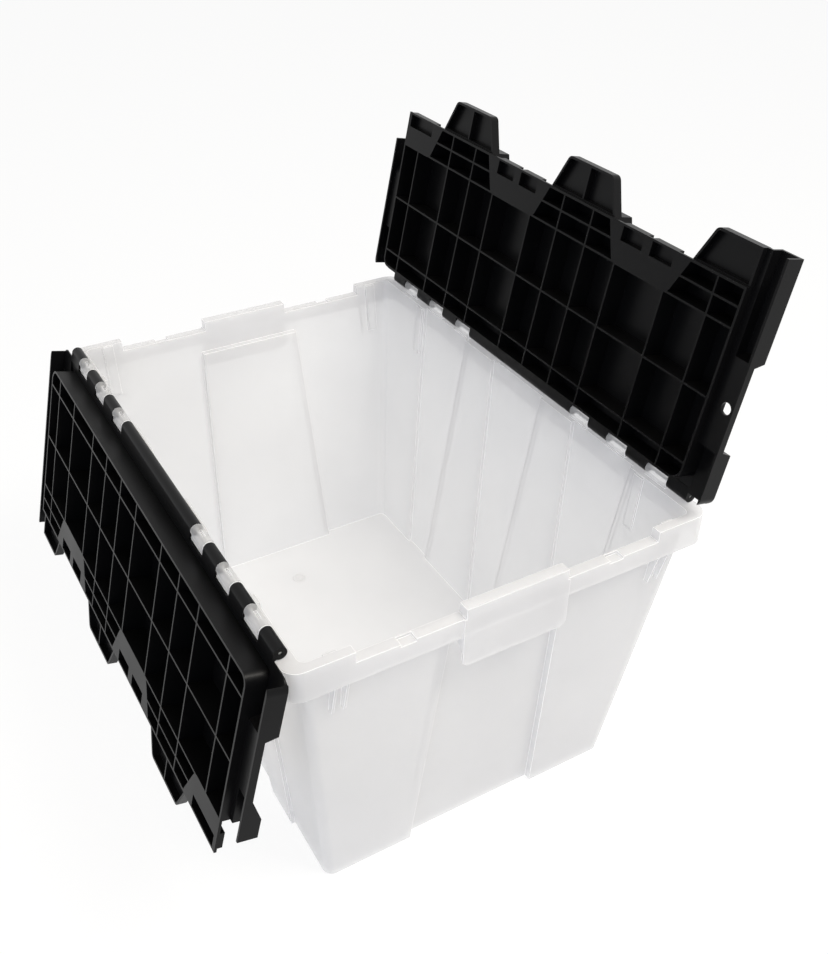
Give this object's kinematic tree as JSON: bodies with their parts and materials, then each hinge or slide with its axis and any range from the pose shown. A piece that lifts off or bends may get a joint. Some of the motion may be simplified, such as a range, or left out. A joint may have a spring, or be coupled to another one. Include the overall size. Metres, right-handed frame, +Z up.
{
  "type": "attached lid storage tote",
  "caption": "Open tapered storage tote of clear moulded plastic with two black hinged lids whose tongues interlock when shut.",
  "frame": {"origin": "middle of the underside of the base", "axes": "+Z up, Y along the two hinges (longest side), X across the tote from the left lid to the right lid"},
  "size_m": [0.4902, 0.55, 0.5321],
  "materials": {
    "clear_plastic": "milky translucent, satin",
    "black_plastic": "satin moulded",
    "wire_steel": "drawn wire"
  },
  "bodies": {
    "tote_body": {"tote": "clear_plastic", "hinge_wire_left": "wire_steel", "hinge_wire_right": "wire_steel"},
    "left_lid": {"lid_left": "black_plastic"},
    "right_lid": {"lid_right": "black_plastic"}
  },
  "joints": [
    {"name": "left_lid_hinge", "type": "hinge", "parent": "tote_body", "child": "left_lid", "pos_m": [-0.188, 0, 0.3144], "axis": [0, -1, 0], "range_deg": [-256, 0]},
    {"name": "right_lid_hinge", "type": "hinge", "parent": "tote_body", "child": "right_lid", "pos_m": [0.188, 0, 0.3144], "axis": [0, 1, 0], "range_deg": [-101.8, 154.2]}
  ]
}
